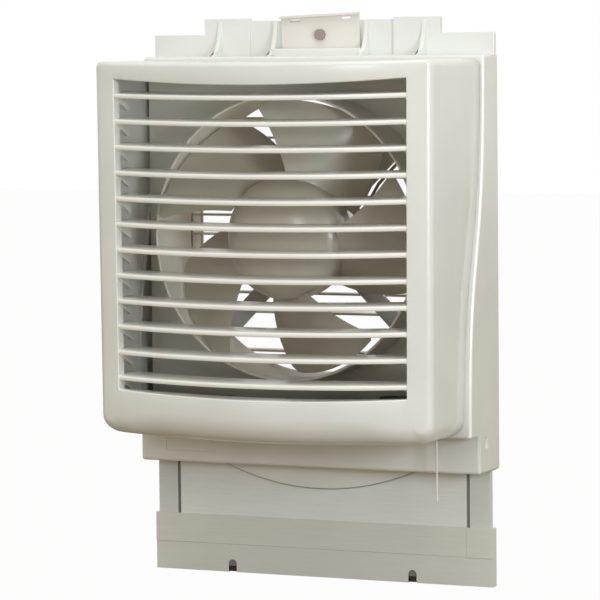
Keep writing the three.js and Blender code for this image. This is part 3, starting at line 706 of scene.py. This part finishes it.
def vinyl(name, color, darkening, flank):
    """Extruded vinyl. The third argument gives how far a place is darkened: in the panel's grooves, and as
    painted shade at the sleeve's slots. flank gives how far the strips at its sides darken.
    """
    material = bpy.data.materials.new(name)
    material.use_nodes = True
    look = Nodes(material.node_tree)
    place = look.node("ShaderNodeTexCoord", {}, {}, "Object")
    x, y, z = look.node("ShaderNodeSeparateXYZ", {}, {0: place}, ("X", "Y", "Z"))
    off_axis = look.node("ShaderNodeMath", {"operation": "ABSOLUTE"}, {0: x})
    drawn = look.node("ShaderNodeVectorMath", {"operation": "MULTIPLY"}, {0: place, 1: draw_stretch})
    streaks = look.node(
        "ShaderNodeTexNoise", {}, {"Vector": drawn, "Scale": draw_scale, "Detail": 4}, "Fac")
    cloud = look.node("ShaderNodeTexNoise", {}, {"Vector": place, "Scale": 18, "Detail": 3}, "Fac")
    darker = [channel * 0.95 for channel in color]
    paler = [min(1, channel * 1.04) for channel in color]
    tone = look.node(
        "ShaderNodeValToRGB", {"stops": [(0.3, darker), (0.7, paler)]},
        {"Fac": streaks * 0.6 + cloud * 0.4}, "Color")
    shaded = look.node("ShaderNodeMix", {"data_type": "RGBA"}, {
        "Factor": (off_axis > groove_x * MM) * flank, "A": tone, "B": flank_color}, "Result")
    darkened_tone = look.node("ShaderNodeMix", {"data_type": "RGBA"}, {
        "Factor": darkening(off_axis, y, z), "A": shaded, "B": darkening_color}, "Result")
    bump = look.node(
        "ShaderNodeBump", {}, {"Height": streaks, "Distance": draw_depth * MM, "Strength": 1})
    surface = look.node("ShaderNodeBsdfPrincipled", {}, {
        "Base Color": darkened_tone, "Roughness": streaks * draw_gloss + vinyl_gloss, "Normal": bump})
    look.node("ShaderNodeOutputMaterial", {}, {"Surface": surface})
    return material


def near(x, middle, half):
    """Whether a place is within that many mm of a middle."""
    return (x > (middle - half) * MM) * (x < (middle + half) * MM)


def panel_darkening(x, y, z):
    """Darker inside the grooves of the panel's front, and painted shade on its foot behind the sleeve's
    slots.
    """
    in_groove = near(x, groove_x, groove_half) * (y > groove_floor * MM) * (y < 0)
    # Painted shade where the panel shows through the sleeve's slots.
    behind_slot = near(x, slot_x, slot_half) * (z < (slot_top + 0.1) * MM)
    return in_groove * 0.75 + behind_slot * 0.8


def sleeve_painted_shade(x, y, z):
    """Painted shade: the blind slots in the sleeve's lower edge are painted dark."""
    return near(x, slot_x, slot_half) * (z < slot_top * MM) * near(y, -1, 2)


panel_vinyl = vinyl("panel_vinyl", (0.77, 0.8, 0.785), panel_darkening, 0.35)
# The sleeve's vinyl, with painted shade in its slots.
sleeve_vinyl = vinyl("sleeve_vinyl", (0.68, 0.685, 0.65), sleeve_painted_shade, 0)
paint("grey_panel", panel_vinyl)
softened("inner_panel", "panel", panel_vinyl, 0.4)
softened("lower_sleeve", "sleeve", sleeve_vinyl, 0.25)

# ---------------------------------------------------------------------------
# The bellmouth: a plate with a plain round throat that stands forward round
# the propeller, moulded with the four posts that the casing's screws hold.
# The shutter behind it is of the same paler ABS. Painted shade darkens both low down.
# ---------------------------------------------------------------------------
shade_level = 165
shade_per_metre = 24


def throat_painted_shade(x, z):
    """Painted shade that deepens downward from a level in the throat."""
    return (z - shade_level * MM) * -shade_per_metre


# The paler inner ABS, darkened low down by painted shade.
ivory_inner = finish("ivory_inner_abs", (0.89, 0.87, 0.8), 0.4, coat=0.2, painted_shade=throat_painted_shade)
paint("ivory_inner", ivory_inner)

throat = 101
throat_wall = 2
throat_front = -62
throat_rear = -8
throat_round = 0.3
plate_rear = -22
plate_front = -24
plate_half = 125.7
plate_low = 116.5
plate_high = 374.5
notch_side = 98
notch_top = 143
post_x = 122
post_z = 98
post_radius = 3.5
post_middle = 4
post_rear = 8.1
post_round = 0.4
turn_sides = 120


def turned(shell, profile):
    """A skin with a closed profile of radius and depth, turned about the fan's axis."""
    rings = []
    for angle in np.radians(np.linspace(0, 360, turn_sides, endpoint=False)):
        c, s = math.cos(angle), math.sin(angle)
        rings.append(shell.ring([(r * s, y, axis + r * c) for r, y in profile]))
    for first, second in zip(rings, [*rings[1:], rings[0]]):
        shell.bridge(first, second)


bell = Shell()
lip = [(throat + throat_wall / 2 * (1 - math.cos(t)), throat_front + throat_wall / 2 - math.sin(t))
       for t in np.radians(np.linspace(0, 180, 9))]
turned(bell, [(throat, throat_rear + throat_round), *lip,
              (throat + throat_wall, throat_rear + throat_round),
              (throat + throat_wall - throat_round, throat_rear),
              (throat + throat_round, throat_rear)])


def plate_edge(angle):
    """The point of the plate's outline in that direction from the fan's axis."""
    s, c = math.sin(angle), math.cos(angle)
    sideways = plate_half / abs(s) if s else math.inf
    upward = (plate_high - axis) / c if c > 0 else math.inf
    downward = (axis - plate_low) / -c if c < 0 else math.inf
    reach = min(sideways, upward, downward)
    if reach * s > notch_side and axis + reach * c < notch_top:
        reach = max(notch_side / s, (axis - notch_top) / -c)
    return reach * s, axis + reach * c


plate_corners = [
    (plate_half, plate_high), (-plate_half, plate_high), (-plate_half, plate_low),
    (notch_side, plate_low), (notch_side, notch_top), (plate_half, notch_top)]
angles = sorted({round(float(t), 5) for t in (
    *np.linspace(-math.pi, math.pi, 121)[:-1], *[math.atan2(x, z - axis) for x, z in plate_corners])})
middle_of_throat = throat + throat_wall / 2
around = [(middle_of_throat * math.sin(t), axis + middle_of_throat * math.cos(t)) for t in angles]
edge = [plate_edge(t) for t in angles]
plate_rings = ((around, plate_front), (edge, plate_front), (edge, plate_rear), (around, plate_rear))
bell.tube([bell.ring([(x, y, z) for x, z in line]) for line, y in plate_rings])


def post_ring(side, level, radius, depth):
    """A ring of the post on that side and level."""
    x, z = side * post_x, axis + level * post_z
    return [(x + radius * math.sin(t), depth, z + radius * math.cos(t))
            for t in np.radians(np.arange(0, 360, 15))]


for side, level in ((1, 1), (-1, 1), (-1, -1), (1, -1)):
    post = [post_ring(side, level, post_radius, depth)
            for depth in (plate_rear - 1, post_middle, post_rear - post_round)]
    bell.capped([*post, post_ring(side, level, post_radius - post_round, post_rear)])
bell.as_piece("bellmouth_shell", ivory_inner, "casing", ["bellmouth"], sharp=40)

# ---------------------------------------------------------------------------
# The propeller: one grey polypropylene moulding, five cambered blades on a
# hub with a domed front. A clamp behind the hub holds it on the shaft.
# ---------------------------------------------------------------------------
blade_grey = finish("blade_grey", (0.505, 0.48, 0.41), 0.3, coat=0.6)
paint("blade_grey", blade_grey)

hub = 44
hub_front = -80
hub_dome = 18
hub_rear = -42
hub_wall = 2.2
hub_round = 0.4
boss = 9
boss_rear = -63
bore = 4.3
bore_end = -74.3
blade_count = 5
blade_root = 41
blade_tip = 98.5
blade_front = -69
blade_rise = 39
blade_camber = 4.5
blade_half_thick = 0.9
blade_lead = 10.2
blade_sweep = 21.5
blade_sweep_power = 0.75
blade_width = 61.5
blade_narrowing = 9.8
blade_edge_share = 0.35
blade_thinning = 0.35
tip_round = 6
tip_cut_front = 0.06
tip_cut_rear = 0.05


def dome(radius, front, start, stop, steps):
    """Profile of the hub's front, from near its middle (0 degrees) to its rim (90)."""
    return [(radius * math.sin(t), front + hub_dome * (1 - math.cos(t)))
            for t in np.radians(np.linspace(start, stop, steps))]


prop = Shell()
hub_inside = hub - hub_wall
turned(prop, [*dome(hub, hub_front, 0.4, 90, 24), (hub, hub_rear - hub_round), (hub - hub_round, hub_rear),
              (hub_inside + 0.3, hub_rear), (hub_inside, hub_rear - hub_round),
              *dome(hub_inside, hub_front + hub_wall, 90, 13, 12), (boss, boss_rear), (bore, boss_rear),
              (bore, bore_end), (0.05, bore_end)])
for blade in range(blade_count):
    rings = []
    for r in np.linspace(hub - 1, blade_tip, 21):
        share = (r - blade_root) / (blade_tip - blade_root)
        lead = blade_lead - blade_sweep * share ** blade_sweep_power
        width = blade_width - blade_narrowing * share
        tip = max(0, (r - blade_tip + tip_round) / tip_round)
        first, last = tip_cut_front * tip ** 2, 1 - tip_cut_rear * tip ** 2
        front, back = [], []
        for u in np.linspace(0, 1, 19):
            v = first + (last - first) * u
            angle = math.radians(lead + width * v + 360 / blade_count * blade)
            depth = blade_front + blade_rise * v - blade_camber * math.sin(math.pi * v)
            swell = math.sin(math.pi * min(1, u + 0.12)) ** 0.6
            fullness = blade_edge_share + (1 - blade_edge_share) * swell
            thick = blade_half_thick * fullness * (1 - blade_thinning * share)
            for side, line in ((-1, front), (1, back)):
                line.append((r * math.sin(angle), depth + side * thick, axis + r * math.cos(angle)))
        rings.append([*front, *back[::-1]])
    prop.capped(rings)
prop.as_piece("propeller_shell", blade_grey, "fan", ["propeller"], sharp=50)

# ---------------------------------------------------------------------------
# The pull cord: a thin limp white cord that hangs straight from the switch's
# lever through the bush under the ledge. Its upper end is knotted over the
# lever.
# ---------------------------------------------------------------------------
cord_white = finish("cord_white", (0.8, 0.79, 0.76), 0.8)
paint("cord_white", cord_white)

cord_x = 106.5
cord_y = -39.8
cord_low = 66
cord_high = 134.6
cord_radius = 0.75
knot_level = 135
knot_radius = 1.35
knot_swell = 0.35
knot_wave = 0.6
knot_steps = 60

cord_data = bpy.data.curves.new("pull_cord_line", "CURVE")
cord_data.dimensions = "3D"
cord_data.bevel_depth = cord_radius * MM
cord_data.bevel_resolution = 3
cord_data.use_fill_caps = True
cord_data.materials.append(cord_white)
line = cord_data.splines.new("POLY")
heights = np.linspace(cord_high, cord_low, 24)
line.points.add(len(heights) - 1)
for point, z in zip(line.points, heights):
    point.co = (cord_x * MM, cord_y * MM, z * MM, 1)
cord_line = bpy.data.objects.new("pull_cord_line", cord_data)
scene.collection.objects.link(cord_line)
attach(cord_line, "cord")

# The knot winds twice round the cord and closes on itself.
knot = Shell()
knot_path = []
for t in np.linspace(0, 4 * math.pi, knot_steps + 1):
    out = knot_radius + knot_swell * math.cos(1.5 * t)
    knot_path.append(Vector((
        cord_x + out * math.cos(t), cord_y + out * math.sin(t), knot_level + knot_wave * math.sin(1.5 * t))))
knot_rings = []
for i, middle in enumerate(knot_path):
    along = (knot_path[min(knot_steps, i + 1)] - knot_path[max(0, i - 1)]).normalized()
    upward = (Vector((0, 0, 1)) - along * along.z).normalized()
    sideways = along.cross(upward)
    knot_rings.append([tuple(middle + cord_radius * (math.cos(a) * upward + math.sin(a) * sideways))
                       for a in np.radians(np.arange(0, 360, 45))])
knot.capped(knot_rings)
cord_knot = knot.as_piece("pull_cord_knot", cord_white, "cord", sharp=60)
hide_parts("pull_cord")

# ---------------------------------------------------------------------------
# The motor's inside, the switch, the capacitor and the lead: stacked steel
# sheets, enamelled wire and black plastic. They keep the solids' own shapes.
# A brown sleeve covers the lead, which its clip holds.
# ---------------------------------------------------------------------------
lamination = finish("oiled_laminations", (0.2, 0.2, 0.21), 0.4, metallic=1)
copper = finish("enamelled_copper", (0.5, 0.2, 0.09), 0.35, metallic=1)
black_plastic = finish("black_plastic", (0.02, 0.02, 0.02), 0.45)
lead_brown = finish("lead_sleeve", (0.36, 0.29, 0.22), 0.5)
paint("laminated_steel", lamination)
paint("copper", copper)
paint("black_plastic", black_plastic)
nodes["motor_lead"].data.materials[0] = lead_brown
